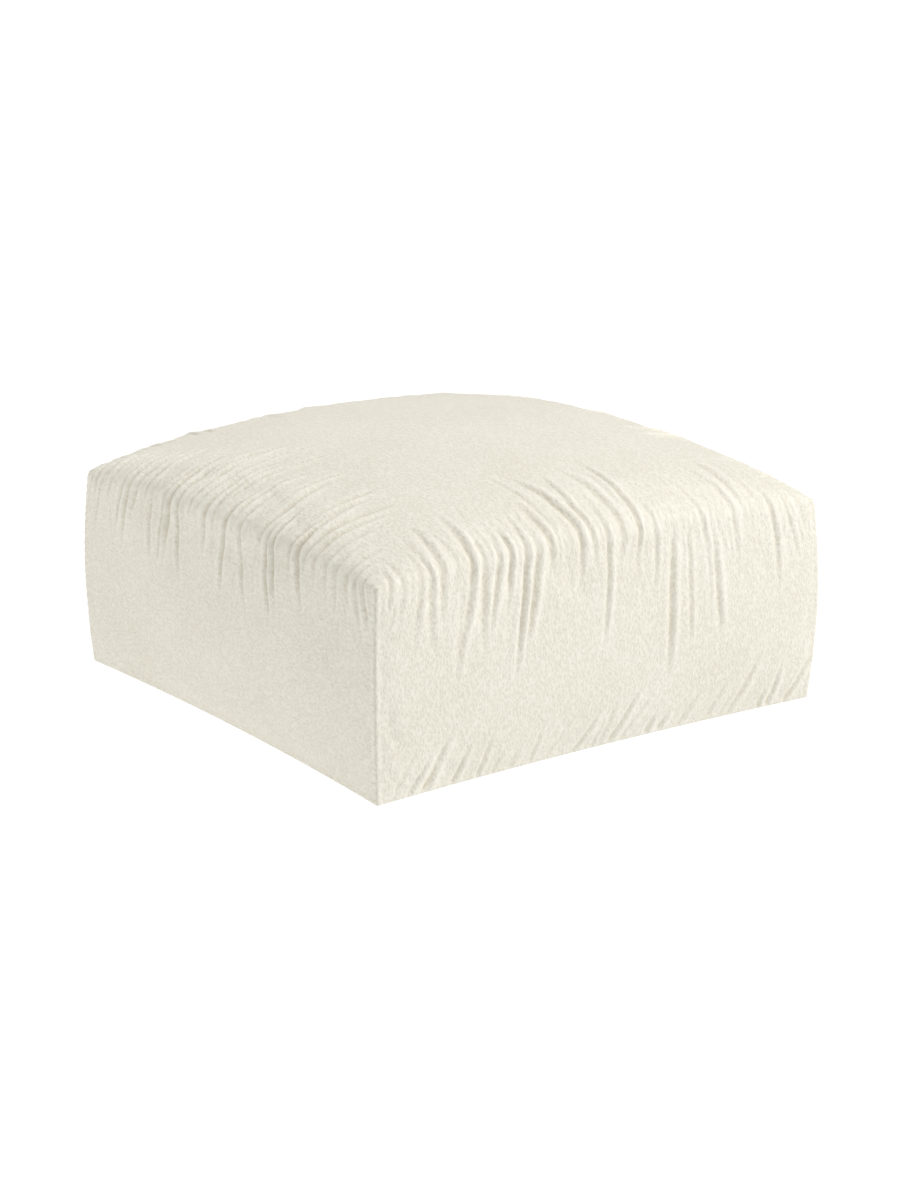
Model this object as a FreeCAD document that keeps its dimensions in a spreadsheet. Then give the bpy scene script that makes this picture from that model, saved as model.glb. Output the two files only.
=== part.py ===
"""Large square floor cushion, built as a parametric FreeCAD document. Millimetres, +Z up.

The origin is the middle of the underside, on the floor. -Y is the front and +Y the back, where
the zip is. From outside to inside the cushion is a zipped cover, a sewn inner bag, sheets of
wadding and a laminated foam core. The cover is cut as one cross: the top runs over the shoulders
into the four sides, so its only upright seams are at the corners, and a base panel closes it.
"""

import FreeCAD
import Part
import math
import os
import Sketcher
from FreeCAD import Placement, Rotation, Vector

doc = FreeCAD.newDocument("FloorCushion")

# ---------------------------------------------------------------- driving dimensions

SIZES = {
    # outer form, over the cover cloth
    "seam_width": 800,       # between two neighbouring corner seams
    "corner_height": 312,    # floor to the top of a corner seam
    "crown_rise": 85,        # middle of the top, over the shoulders
    "shoulder_lift": 10,     # middle of a top edge, over the corners
    "shoulder_bulge": 15,    # middle of a top edge, out from the line of the corners
    "belly_bulge": 12,       # fullest part of a side, out from the line of the corners
    "belly_height": 200,     # floor to the fullest part of a side
    "base_tuck": 14,         # middle of a base seam, in from the line of the corners
    "corner_bow": 7.5,       # a corner seam leans out by this at half its height
    # cloths
    "cover_cloth": 1.6,
    "base_cloth": 1.4,
    "liner_cloth": 0.8,
    "tape_cloth": 0.8,
    "label_cloth": 0.4,
    "seam_gap": 0.2,         # between sewn edges, and between layers that lie on each other
    "binding_width": 14,     # each leg of the tape over a corner seam
    "base_binding_width": 12,
    "base_clearance": 1,     # from the edge of the base panel to the inside of the cover
    # filling
    "wadding": 20,
    "corner_hollow": 10,     # from a lower corner of the inner bag to the wadding
    "foam_base_height": 130,
    "foam_middle_height": 120,
    # zip, in the back side just over the base seam
    "zip_height": 34,
    "zip_length": 560,
    "zip_window_margin": 4,
    "zip_set_back": 1.6,     # tape behind the inner face of the cover
    "zip_upright_margin": 26,
    "hem_clearance": 0.5,    # between the slider and each hem of the cover
    "liner_clearance": 1,    # between the slider and the inner bag
    "zip_tape_width": 14,
    "zip_tape_thick": 0.6,
    "zip_tape_tail": 14,
    "coil_width": 2.6,
    "coil_thick": 2.1,
    "coil_gap": 0.1,         # from the middle of the chain to each coil
    "slider_length": 11,
    "slider_plate": 1.3,
    "slider_wall": 0.8,
    "slider_clearance": 0.4,
    "post_length": 2,
    "post_width": 1.8,
    "lug_length": 6.4,
    "lug_width": 1.8,
    "lug_bar": 1.5,
    "lug_eye_length": 3.4,
    "pull_length": 26,
    "pull_thick": 1.2,
    "pull_bar": 1.2,
    "pull_rail": 1.5,
    "pull_clearance": 0.6,   # round the lug, inside the pull's eye
    "eye_play": 0.2,         # round the pull's bar, inside the lug's eye
    "stop_length": 2.5,
    "stop_gap": 0.8,
    "stop_wall": 0.8,
    "label_width": 34,
    "label_height": 60,
    "label_place": 200,
}

sheet = doc.addObject("Spreadsheet::Sheet", "Sizes")
for row, (alias, value) in enumerate(SIZES.items(), start=1):
    sheet.set(f"A{row}", alias)
    sheet.set(f"B{row}", str(value))
    sheet.setAlias(f"B{row}", alias)
doc.recompute()


def size(alias):
    """A driving dimension, read back from the spreadsheet."""
    return float(sheet.get(alias))


# ---------------------------------------------------------------- the soft form

# A face is a cubic B-spline through this many points: along an edge, and up a side.
ALONG_POINTS = 17
RISE_POINTS = 9
CROWDING = 1.35      # radians, under a quarter turn: how much closer the points lie at the ends
CROWN_POWER = 0.48   # under 1 gives the top its full, steep shoulders


def steps(count):
    """Equal steps from 0 to 1."""
    return [i / (count - 1) for i in range(count)]


def smooth(share):
    """A soft step from 0 to 1."""
    share = min(max(share, 0.0), 1.0)
    return share * share * (3 - 2 * share)


def side_bulge(height, at_back):
    """How far the middle of a side stands out from the line of its corners."""
    belly, shoulder = size("belly_bulge"), size("shoulder_bulge")
    if height > size("belly_height"):
        above = (height - size("belly_height")) / (size("corner_height") - size("belly_height"))
        return belly + (shoulder - belly) * smooth(above)
    if at_back:
        # upright at the foot, to keep the zip straight
        upright = size("zip_height") + size("zip_upright_margin")
        return belly * smooth((height - upright) / (size("belly_height") - upright))
    rise = math.sin(math.pi / 2 * height / size("belly_height"))
    return (belly + size("base_tuck")) * rise - size("base_tuck")


def corner_out(height):
    """Half the distance between neighbouring corner seams at a height."""
    share = height / size("corner_height")
    return size("seam_width") / 2 + size("corner_bow") * math.sin(math.pi * share)


def side_point(along, rise, inset, at_back):
    """A point of the front side (or the back, unturned): along from -1 to 1, rise from 0 to 1."""
    middle = 1 - along * along
    height = (size("corner_height") - inset) * rise
    corner = corner_out(height / (1 - inset / size("corner_height"))) - inset
    out = corner + side_bulge(height, at_back) * middle
    lift = size("shoulder_lift") * middle * smooth(rise)
    return Vector(along * corner, -out, height + lift)


def top_point(across, back, inset):
    """A point of the top: across and back both run from -1 to 1."""
    half = size("seam_width") / 2 - inset
    bulge = side_bulge(size("corner_height") - inset, False)
    edge_x = 1 - across * across
    edge_y = 1 - back * back
    lift = size("shoulder_lift") * (edge_x + edge_y - edge_x * edge_y)
    crown = size("crown_rise") * (edge_x * edge_y) ** CROWN_POWER
    x = across * (half + bulge * edge_y)
    y = back * (half + bulge * edge_x)
    return Vector(x, y, size("corner_height") - inset + lift + crown)


def spline_through(points):
    """A cubic B-spline curve through points, its parameter going up by equal steps."""
    curve = Part.BSplineCurve()
    curve.interpolate(Points=points, Parameters=steps(len(points)))
    return curve


def spline_face(rows):
    """A cubic B-spline face through a grid of points. Its edges depend only on their own points."""
    row_curves = [spline_through(row) for row in rows]
    column_curves = [spline_through(list(column)) for column in zip(*[c.getPoles() for c in row_curves])]
    across, along = column_curves[0], row_curves[0]
    poles = [list(row) for row in zip(*[c.getPoles() for c in column_curves])]
    surface = Part.BSplineSurface()
    surface.buildFromPolesMultsKnots(
        poles, across.getMultiplicities(), along.getMultiplicities(),
        across.getKnots(), along.getKnots(), False, False, across.Degree, along.Degree)
    return surface.toShape()


def soft_form(inset):
    """The cushion's closed outer form, taken in by inset and standing on the floor."""
    # places along an edge lie closer together near its ends, where the form turns fastest
    places = [math.sin(CROWDING * (2 * step - 1)) / math.sin(CROWDING) for step in steps(ALONG_POINTS)]
    faces = [spline_face([[top_point(x, y, inset) for y in places] for x in places])]
    # front, right, back, left; each side is a front side turned about Z
    for turn, at_back in ((0, False), (90, False), (180, True), (270, False)):
        rotate = Rotation(Vector(0, 0, 1), turn)
        faces.append(spline_face([
            [rotate.multVec(side_point(place, rise, inset, at_back)) for rise in steps(RISE_POINTS)]
            for place in places
        ]))
    foot_edges = [
        edge for face in faces[1:] for edge in face.Edges
        if all(abs(vertex.Point.z) < 1e-6 for vertex in edge.Vertexes)
    ]
    faces.append(Part.Face(Part.Wire(Part.__sortEdges__(foot_edges))))
    shell = Part.makeShell(faces)
    shell.sewShape()
    solid = Part.makeSolid(shell)
    if solid.Volume < 0:
        solid.reverse()
    return solid


def feature(label, shape):
    """A document object that holds a shape made in code."""
    made = doc.addObject("Part::Feature", label)
    made.Label = label
    made.Shape = shape
    return made


def form(name, inset):
    return feature(name, soft_form(inset))


def layer(name, outer, inner):
    """The space between the outer form taken in by two insets, open underneath."""
    return cut(name, form(name + "_outside", outer), form(name + "_inside", inner))


def flat_panel(label, inset, foot, thickness):
    """A flat cloth cut to the form's outline on the floor, taken in by inset."""
    floor_face = min(soft_form(inset).Faces, key=lambda face: face.CenterOfMass.z)
    outline = feature(label + "_outline", floor_face)
    outline.Placement = Placement(Vector(0, 0, foot), Rotation())
    panel = doc.addObject("Part::Extrusion", label)
    panel.Label = label
    panel.Base = outline
    panel.DirMode = "Custom"
    panel.Dir = Vector(0, 0, 1)
    panel.Solid = True
    panel.setExpression("LengthFwd", thickness)
    return panel


def block(name, x, y, z):
    """A box from three (low, high) pairs, for cutting."""
    box = doc.addObject("Part::Box", name)
    box.Length = x[1] - x[0]
    box.Width = y[1] - y[0]
    box.Height = z[1] - z[0]
    box.Placement = Placement(Vector(x[0], y[0], z[0]), Rotation())
    return box


def cut(label, base, tool):
    made = doc.addObject("Part::Cut", label)
    made.Label = label
    made.Base = base
    made.Tool = tool
    return made


def common(label, base, tool):
    made = doc.addObject("Part::Common", label)
    made.Label = label
    made.Base = base
    made.Tool = tool
    return made


parts = {}
half_width = size("seam_width") / 2
gap = size("seam_gap")
REACH = size("seam_width")           # further out than any piece
BELOW = -20                          # lower than any piece
ABOVE = 2 * size("corner_height") + size("crown_rise")

# ---------------------------------------------------------------- cover

cover_inset = size("cover_cloth")
cover_layer = layer("cover_layer", 0, cover_inset)

# The back hem is cut away for the zip, and a narrow strip of the same cloth goes under it.
window_half = size("zip_length") / 2 + size("zip_window_margin")
slider_half = (
    size("coil_gap") + size("coil_width") + 2 * size("slider_clearance") + size("slider_wall"))
upper_hem = size("zip_height") + slider_half + size("hem_clearance")
lower_hem = size("zip_height") - slider_half - size("hem_clearance")
back_zone = (half_width - 2 * cover_inset, REACH)
window = block("zip_window", (-window_half, window_half), back_zone, (BELOW, upper_hem))
parts["cover_top_and_sides"] = cut("cover_top_and_sides", cover_layer, window)

strip_half = window_half - gap
strip_zone = block("strip_zone", (-strip_half, strip_half), back_zone, (BELOW, lower_hem))
parts["cover_zip_strip"] = common("cover_zip_strip", cover_layer, strip_zone)

parts["base_panel"] = flat_panel(
    "base_panel", cover_inset + size("base_clearance"), 0, "Sizes.base_cloth")

# ---------------------------------------------------------------- seam bindings and label

binding_outer = cover_inset + gap
binding_inner = binding_outer + size("tape_cloth")
binding_layer = layer("binding_layer", binding_outer, binding_inner)
base_binding_foot = size("base_cloth") + gap
base_binding_top = base_binding_foot + size("base_binding_width")
ring_band = block(
    "ring_band", (-REACH, REACH), (-REACH, REACH), (base_binding_foot, base_binding_top))
parts["base_seam_binding"] = common("base_seam_binding", binding_layer, ring_band)

# The tape over a corner seam is an upright angle, from the base binding to near the corner's top.
corner_zone_z = (
    base_binding_top + gap,
    size("corner_height") - binding_inner - size("binding_width"))
column_reach = half_width - binding_inner - size("binding_width")
for corner, x_side, y_side in (
        ("front_left", -1, -1), ("front_right", 1, -1), ("back_right", 1, 1), ("back_left", -1, 1)):
    x_zone = sorted((x_side * column_reach, x_side * REACH))
    y_zone = sorted((y_side * column_reach, y_side * REACH))
    label = f"corner_binding_{corner}"
    zone = block(f"{label}_zone", x_zone, y_zone, corner_zone_z)
    parts[label] = common(label, binding_layer, zone)

# The care label is sewn inside the cover's back, just above the zip tape.
tape_inner_edge = size("post_width") / 2 + size("slider_clearance")
label_foot = size("zip_height") + tape_inner_edge + size("zip_tape_width") + gap
label_outer = binding_inner + gap
label_zone = block(
    "label_zone",
    (size("label_place") - size("label_width") / 2, size("label_place") + size("label_width") / 2),
    (0, REACH),
    (label_foot, label_foot + size("label_height")))
parts["care_label"] = common(
    "care_label", layer("label_layer", label_outer, label_outer + size("label_cloth")), label_zone)

# ---------------------------------------------------------------- inner bag

# it clears the inside of the zip slider
liner_outer = (
    cover_inset + size("zip_set_back") + size("zip_tape_thick") + size("slider_clearance")
    + size("slider_plate") + size("liner_clearance"))
liner_inner = liner_outer + size("liner_cloth")
liner_foot = size("base_cloth") + gap
liner_floor = liner_foot + size("liner_cloth")
under_liner = block("under_liner", (-REACH, REACH), (-REACH, REACH), (BELOW, liner_foot))
parts["liner_top_and_sides"] = cut(
    "liner_top_and_sides", layer("liner_layer", liner_outer, liner_inner), under_liner)
parts["liner_base"] = flat_panel("liner_base", liner_inner + gap, liner_foot, "Sizes.liner_cloth")

# ---------------------------------------------------------------- foam core

# Two square blocks are laminated, with a domed pad of softer foam on them.
foam_foot = liner_floor + gap
foam_middle_foot = foam_foot + size("foam_base_height") + gap
crown_foot = foam_middle_foot + size("foam_middle_height") + gap
wadding_outer = liner_inner + gap
wadding_inner = wadding_outer + size("wadding")
foam_half = half_width - wadding_inner - gap - size("base_tuck")
LINER_INNER = (
    "(Sizes.cover_cloth + Sizes.zip_set_back + Sizes.zip_tape_thick + Sizes.slider_clearance"
    " + Sizes.slider_plate + Sizes.liner_clearance + Sizes.liner_cloth)")
FOAM_WIDTH = (
    f"(Sizes.seam_width - 2 * ({LINER_INNER} + Sizes.wadding + Sizes.base_tuck + 2 * Sizes.seam_gap))")
for name, foot in (("base", foam_foot), ("middle", foam_middle_foot)):
    foam = doc.addObject("Part::Box", f"foam_{name}_block")
    foam.Label = f"foam_{name}_block"
    foam.Placement = Placement(Vector(-foam_half, -foam_half, foot), Rotation())
    foam.setExpression("Length", FOAM_WIDTH)
    foam.setExpression("Width", FOAM_WIDTH)
    foam.setExpression("Height", f"Sizes.foam_{name}_height")
    parts[foam.Label] = foam

crown_zone = block("crown_zone", (-REACH, REACH), (-REACH, REACH), (crown_foot, ABOVE))
parts["foam_crown_pad"] = common("foam_crown_pad", form("crown_form", wadding_inner + gap), crown_zone)

# ---------------------------------------------------------------- wadding

# The top sheet turns down over the crown pad. The side sheets fill the bellies of the cover
# below it: the left and right ones reach round the corners, and the others lie between them.
top_zone = block("wadding_top_zone", (-REACH, REACH), (-REACH, REACH), (crown_foot, ABOVE))
parts["wadding_top"] = common(
    "wadding_top", layer("wadding_top_layer", wadding_outer, wadding_inner), top_zone)
# the sheets stop short of the bag's corners, at a face across each
corner_face = (half_width - wadding_outer) * math.sqrt(2) - size("corner_hollow")
corner_faces = block(
    "corner_faces", (0, 2 * corner_face), (0, 2 * corner_face), (BELOW, ABOVE))
quarter_turn = Rotation(Vector(0, 0, 1), 45)
corner_faces.Placement = Placement(
    quarter_turn.multVec(Vector(-corner_face, -corner_face, 0)) + Vector(0, 0, BELOW), quarter_turn)
wadding_form = common("wadding_form", form("wadding_bag", wadding_outer), corner_faces)
side_from = foam_half + gap
for side, x_zone, y_zone in (
        ("front", (-foam_half, foam_half), (-REACH, -side_from)),
        ("back", (-foam_half, foam_half), (side_from, REACH)),
        ("left", (-REACH, -side_from), (-REACH, REACH)),
        ("right", (side_from, REACH), (-REACH, REACH))):
    zone = block(f"wadding_{side}_zone", x_zone, y_zone, (foam_foot, crown_foot - gap))
    parts[f"wadding_{side}"] = common(f"wadding_{side}", wadding_form, zone)

# ---------------------------------------------------------------- zip

# Zip pieces are drawn flat: x along the zip, y up the cover and z out of it. This turns them
# upright against the back side, so that z points along +Y and x along -X.
ZIP_TURN = Rotation(Vector(0, 1, 1), 180)
zip_face = corner_out(size("zip_height"))


def plane_of(body, role):
    return next(plane for plane in body.Origin.OriginFeatures if plane.Role == role)


def rectangle(sketch, width, height):
    """A rectangle centred on the sketch's origin, its sizes bound to two expressions."""
    corners = [Vector(-1, -1, 0), Vector(1, -1, 0), Vector(1, 1, 0), Vector(-1, 1, 0)]
    first = sketch.GeometryCount
    for i in range(4):
        sketch.addGeometry(Part.LineSegment(corners[i], corners[(i + 1) % 4]), False)
    for i in range(4):
        sketch.addConstraint(
            Sketcher.Constraint("Coincident", first + i, 2, first + (i + 1) % 4, 1))
    for i, kind in enumerate(("Horizontal", "Vertical", "Horizontal", "Vertical")):
        sketch.addConstraint(Sketcher.Constraint(kind, first + i))
    sketch.addConstraint(Sketcher.Constraint("Symmetric", first, 1, first + 2, 1, -1, 1))
    wide = sketch.addConstraint(Sketcher.Constraint("DistanceX", first, 1, first, 2, 2.0))
    high = sketch.addConstraint(Sketcher.Constraint("DistanceY", first + 1, 1, first + 1, 2, 2.0))
    sketch.setExpression(f"Constraints[{wide}]", width)
    sketch.setExpression(f"Constraints[{high}]", height)


def slab(body, name, width, height, thick, x="0 mm", y="0 mm", z="0 mm", kind="Pad"):
    """A rectangular pad, or a pocket, whose low face is centred at (x, y, z)."""
    sketch = body.newObject("Sketcher::SketchObject", name + "_sketch")
    sketch.AttachmentSupport = [(plane_of(body, "XY_Plane"), "")]
    sketch.MapMode = "FlatFace"
    for axis, place in (("x", x), ("y", y), ("z", z)):
        sketch.setExpression(f"AttachmentOffset.Base.{axis}", place)
    rectangle(sketch, width, height)
    made = body.newObject("PartDesign::" + kind, name)
    made.Profile = sketch
    made.setExpression("Length", thick)
    if kind == "Pocket":
        made.Reversed = True
    doc.recompute()
    return made


def zip_body(label):
    body = doc.addObject("PartDesign::Body", label)
    body.Label = label
    body.Placement = Placement(Vector(0, zip_face, size("zip_height")), ZIP_TURN)
    parts[label] = body
    return body


TAPE_TOP = "-(Sizes.cover_cloth + Sizes.zip_set_back)"
TAPE_LOW = f"({TAPE_TOP} - Sizes.zip_tape_thick)"
TAPE_LENGTH = "Sizes.zip_length + 2 * Sizes.zip_tape_tail"
COIL_MIDDLE = "(Sizes.coil_gap + Sizes.coil_width / 2)"
TAPE_MIDDLE = "(Sizes.post_width / 2 + Sizes.slider_clearance + Sizes.zip_tape_width / 2)"
SLIDER_PLACE = "(Sizes.zip_length / 2 - Sizes.stop_gap - Sizes.slider_length / 2)"
POST_PLACE = SLIDER_PLACE + " + Sizes.slider_length / 2 - Sizes.post_length"
CHAIN_END = f"({POST_PLACE} - Sizes.post_length / 2 - Sizes.slider_clearance)"

for name, side in (("upper", 1), ("lower", -1)):
    tape = zip_body(f"zip_tape_{name}")
    slab(tape, f"tape_{name}", TAPE_LENGTH, "Sizes.zip_tape_width", "Sizes.zip_tape_thick",
         y=f"{side} * {TAPE_MIDDLE}", z=TAPE_LOW)
    coil = zip_body(f"zip_coil_{name}")
    slab(coil, f"coil_{name}", f"Sizes.zip_length / 2 + {CHAIN_END}", "Sizes.coil_width",
         "Sizes.coil_thick", x=f"({CHAIN_END} - Sizes.zip_length / 2) / 2",
         y=f"{side} * {COIL_MIDDLE}", z=TAPE_TOP)

# The slider is two plates with turned-in edges, joined by the post that parts the coils.
CHANNEL_TOP = f"({TAPE_TOP} + Sizes.coil_thick + Sizes.slider_clearance)"
PLATE_LOW = f"({TAPE_LOW} - Sizes.slider_clearance - Sizes.slider_plate)"
SLIDER_HALF = "(Sizes.coil_gap + Sizes.coil_width + 2 * Sizes.slider_clearance + Sizes.slider_wall)"
LIP_LOW = f"({TAPE_TOP} + Sizes.slider_clearance)"
LUG_BASE = f"({CHANNEL_TOP} + Sizes.slider_plate)"
LUG_EYE = "(sqrt(Sizes.pull_bar ^ 2 + Sizes.pull_thick ^ 2) + Sizes.eye_play)"
slider = zip_body("zip_slider")
slab(slider, "outer_plate", "Sizes.slider_length", f"2 * {SLIDER_HALF}", "Sizes.slider_plate",
     x=SLIDER_PLACE, z=CHANNEL_TOP)
slab(slider, "post", "Sizes.post_length", "Sizes.post_width", f"{CHANNEL_TOP} - {PLATE_LOW}",
     x=POST_PLACE, z=PLATE_LOW)
slab(slider, "inner_plate", "Sizes.slider_length", f"2 * {SLIDER_HALF}", "Sizes.slider_plate",
     x=SLIDER_PLACE, z=PLATE_LOW)
for name, side in (("upper", 1), ("lower", -1)):
    slab(slider, f"lip_{name}", "Sizes.slider_length", "Sizes.slider_wall",
         f"{CHANNEL_TOP} - {LIP_LOW}",
         x=SLIDER_PLACE, y=f"{side} * ({SLIDER_HALF} - Sizes.slider_wall / 2)", z=LIP_LOW)
slab(slider, "lug", "Sizes.lug_length", "Sizes.lug_width", f"{LUG_EYE} + Sizes.lug_bar",
     x=SLIDER_PLACE, z=LUG_BASE)
# the eye is cut across the lug, for the bar of the pull
eye_sketch = slider.newObject("Sketcher::SketchObject", "lug_eye_sketch")
eye_sketch.AttachmentSupport = [(plane_of(slider, "XZ_Plane"), "")]
eye_sketch.MapMode = "FlatFace"
eye_sketch.setExpression("AttachmentOffset.Base.x", SLIDER_PLACE)
eye_sketch.setExpression("AttachmentOffset.Base.y", f"{LUG_BASE} + {LUG_EYE} / 2")
rectangle(eye_sketch, "Sizes.lug_eye_length", LUG_EYE)
eye = slider.newObject("PartDesign::Pocket", "lug_eye")
eye.Profile = eye_sketch
eye.Midplane = True
eye.setExpression("Length", "2 * Sizes.lug_width")
doc.recompute()

# The pull's bar runs through the lug's eye, and its tab lies back along the closed chain.
PULL_LOW = f"({LUG_BASE} + ({LUG_EYE} - Sizes.pull_thick) / 2)"
PULL_PLACE = f"({SLIDER_PLACE} + Sizes.pull_bar / 2 - Sizes.pull_length / 2)"
PULL_EYE_WIDTH = "(Sizes.lug_width + 2 * Sizes.pull_clearance)"
# the pull's eye swings clear of the lug's outer corner
LUG_REACH = f"sqrt((Sizes.lug_length / 2) ^ 2 + ({LUG_EYE} / 2 + Sizes.lug_bar) ^ 2)"
PULL_EYE_LENGTH = f"({LUG_REACH} - Sizes.pull_bar / 2 + Sizes.pull_clearance)"
pull = zip_body("zip_pull")
slab(pull, "tab", "Sizes.pull_length", f"{PULL_EYE_WIDTH} + 2 * Sizes.pull_rail", "Sizes.pull_thick",
     x=PULL_PLACE, z=PULL_LOW)
slab(pull, "eye", PULL_EYE_LENGTH, PULL_EYE_WIDTH, "Sizes.pull_thick",
     x=f"{SLIDER_PLACE} - Sizes.pull_bar / 2 - {PULL_EYE_LENGTH} / 2", z=PULL_LOW, kind="Pocket")

# End stops clip over the chain: one box at the open end, and a pair of clips at the closed end.
STOP_PLACE = "(Sizes.zip_length / 2 + Sizes.stop_length / 2)"
STOP_THICK = "Sizes.coil_thick + Sizes.stop_wall"
bottom_stop = zip_body("zip_stop_bottom")
slab(bottom_stop, "box_stop", "Sizes.stop_length", "2 * (Sizes.coil_gap + Sizes.coil_width)",
     STOP_THICK, x=f"-{STOP_PLACE}", z=TAPE_TOP)
for name, side in (("upper", 1), ("lower", -1)):
    top_stop = zip_body(f"zip_stop_top_{name}")
    slab(top_stop, f"clip_{name}", "Sizes.stop_length", "Sizes.coil_width", STOP_THICK,
         x=STOP_PLACE, y=f"{side} * {COIL_MIDDLE}", z=TAPE_TOP)

# ---------------------------------------------------------------- checks and files

doc.recompute()
for made in doc.Objects:
    if {"Invalid", "Error"} & set(made.State):
        raise RuntimeError(f"{made.Label} did not build: {made.State}")

os.makedirs("parts", exist_ok=True)
for label, made in parts.items():
    shape = made.Shape
    if shape.isNull() or not shape.isValid() or not shape.Solids:
        raise RuntimeError(f"{label} is not a valid solid")
    shape.exportStep(os.path.join("parts", f"{label}.step"))
    print(label, len(shape.Solids), "solid", round(shape.Volume), "mm3")
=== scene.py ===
import math

import bmesh
import bpy
import numpy as np
from mathutils import Matrix, Vector


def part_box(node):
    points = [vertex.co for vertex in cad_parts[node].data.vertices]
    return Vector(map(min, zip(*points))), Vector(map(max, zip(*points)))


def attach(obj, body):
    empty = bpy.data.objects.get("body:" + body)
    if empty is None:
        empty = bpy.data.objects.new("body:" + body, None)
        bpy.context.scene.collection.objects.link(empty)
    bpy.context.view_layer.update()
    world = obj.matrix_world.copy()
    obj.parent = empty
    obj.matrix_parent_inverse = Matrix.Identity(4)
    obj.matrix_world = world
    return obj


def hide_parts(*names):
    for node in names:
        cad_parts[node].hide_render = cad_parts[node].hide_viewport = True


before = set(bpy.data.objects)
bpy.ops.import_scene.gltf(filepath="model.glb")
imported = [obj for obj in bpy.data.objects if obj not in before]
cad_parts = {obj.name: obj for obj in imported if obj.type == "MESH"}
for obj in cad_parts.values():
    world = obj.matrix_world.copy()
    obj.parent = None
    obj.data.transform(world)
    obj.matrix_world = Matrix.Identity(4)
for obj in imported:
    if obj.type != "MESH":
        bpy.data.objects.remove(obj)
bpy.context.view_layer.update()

MM = 0.001

# ---------------------------------------------------------------- room, light and camera
# The cushion stands on a wide pale floor in an even white room. A large soft lamp hangs to the
# right of the camera, with weak ones to the left and overhead. The camera looks down at a corner.

BASE_EDGE = 2.6 * MM                       # the base cloth stops this far inside the cover's face
base_low, base_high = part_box("base_panel")
seam_width = base_high.x - base_low.x + 2 * BASE_EDGE
half_width = seam_width / 2

CAMERA_TURN = math.radians(-35.77)
CAMERA_RISE = math.radians(16.73)
CAMERA_AWAY = 5.4184 * seam_width
CAMERA_AIM = Vector((0.0146 * seam_width, 0, 0.15844 * seam_width))
CAMERA_LENS = 83.6

FLOOR_REACH = 60
FLOOR_COLOUR = (0.2, 0.2, 0.2, 1)
FLOOR_GLOW = 0.93
ROOM_LIGHT = 0.50
LAMPS = {                                  # place, power, width, colour
    "key_lamp": (Vector((3.25, -3.25, 4.75)), 272, 3.0, (1.0, 0.99, 0.975)),
    "side_lamp": (Vector((-4.0, 2.75, 1.2)), 39, 1.8, (1.0, 0.96, 0.90)),
    "top_lamp": (Vector((0, 0.3, 4.2)), 20, 2.4, (1.0, 1.0, 1.0)),
}
LAMPS_AIM = Vector((0, 0, 0.2))

scene = bpy.context.scene
scene.view_settings.view_transform = "Standard"


def keep(name, data):
    """A new object in the scene."""
    made = bpy.data.objects.new(name, data)
    scene.collection.objects.link(made)
    return made


def aim(thing, place, target):
    """Puts a lamp or camera at place, looking at target."""
    thing.location = place
    thing.rotation_euler = (target - place).to_track_quat("-Z", "Y").to_euler()


camera = keep("camera", bpy.data.cameras.new("camera"))
camera.data.lens = CAMERA_LENS
camera.data.sensor_width = 36
camera.data.clip_end = 200
away = Vector((
    math.sin(CAMERA_TURN) * math.cos(CAMERA_RISE),
    -math.cos(CAMERA_TURN) * math.cos(CAMERA_RISE),
    math.sin(CAMERA_RISE),
))
aim(camera, CAMERA_AIM + away * CAMERA_AWAY, CAMERA_AIM)
scene.camera = camera

for name, (place, power, width, colour) in LAMPS.items():
    lamp = keep(name, bpy.data.lights.new(name, "AREA"))
    lamp.data.energy = power
    lamp.data.size = width
    lamp.data.color = colour
    aim(lamp, place, LAMPS_AIM)

room = bpy.data.worlds.new("room")
scene.world = room
room.use_nodes = True
room.node_tree.nodes["Background"].inputs["Color"].default_value = (1, 1, 1, 1)
room.node_tree.nodes["Background"].inputs["Strength"].default_value = ROOM_LIGHT


class Wire:
    """A node socket that takes part in sums: each sum adds its Math node."""

    def __init__(self, tree, socket):
        self.tree = tree
        self.socket = socket

    def math(self, operation, *values):
        node = self.tree.nodes.new("ShaderNodeMath")
        node.operation = operation
        for socket, value in zip(node.inputs, values):
            plug(self.tree, socket, value)
        return Wire(self.tree, node.outputs[0])

    def sine(self):
        return self.math("SINE", self)

    def output(self, name):
        """Another output of the same node."""
        return Wire(self.tree, self.socket.node.outputs[name])

    def __add__(self, other):
        return self.math("ADD", self, other)

    def __mul__(self, other):
        return self.math("MULTIPLY", self, other)

    def __truediv__(self, other):
        return self.math("DIVIDE", self, other)

    __radd__ = __add__
    __rmul__ = __mul__


def plug(tree, socket, value):
    """Links a wire to a socket, or sets the socket's own value."""
    if isinstance(value, Wire):
        tree.links.new(value.socket, socket)
    else:
        socket.default_value = value


class Tree:
    """A node tree under construction."""

    def __init__(self, tree):
        self.tree = tree

    def node(self, kind, settings=None, inputs=None, output=0):
        made = self.tree.nodes.new(kind)
        for name, value in (settings or {}).items():
            if name == "stops":
                ramp = made.color_ramp
                while len(ramp.elements) < len(value):
                    ramp.elements.new(1)
                for element, (position, colour) in zip(ramp.elements, value):
                    element.position = position
                    element.color = colour
            else:
                setattr(made, name, value)
        for name, value in (inputs or {}).items():
            plug(self.tree, made.inputs[name], value)
        return Wire(self.tree, made.outputs[output])


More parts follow.
